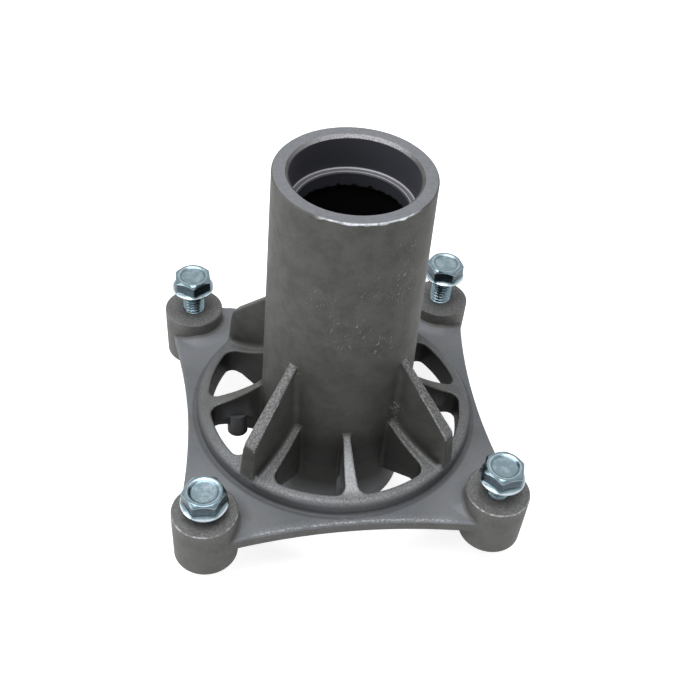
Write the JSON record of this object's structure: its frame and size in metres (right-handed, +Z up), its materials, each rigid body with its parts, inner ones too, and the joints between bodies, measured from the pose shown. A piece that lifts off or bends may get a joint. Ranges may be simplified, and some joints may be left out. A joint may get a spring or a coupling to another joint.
{
  "type": "spindle housing",
  "caption": "Cast aluminium spindle housing: a tall bearing tube on a ribbed wheel and a square flange, with hex washer head screws standing in its corner bosses.",
  "frame": {"origin": "centre of the tube's lower rim, on the axis of the bore", "axes": "+Z up the bore towards the tall end of the tube, +X and +Y along the sides of the square of bosses"},
  "size_m": [0.1188, 0.1188, 0.129],
  "materials": {
    "cast_aluminium": "as cast and lightly blasted, machined at the bearing seats",
    "zinc_plated_steel": "bright zinc plate with a blue tint"
  },
  "bodies": {
    "root": {"housing": "cast_aluminium", "bolt_front_left": "zinc_plated_steel", "bolt_front_right": "zinc_plated_steel", "bolt_rear_left": "zinc_plated_steel", "bolt_rear_right": "zinc_plated_steel"}
  },
  "joints": []
}
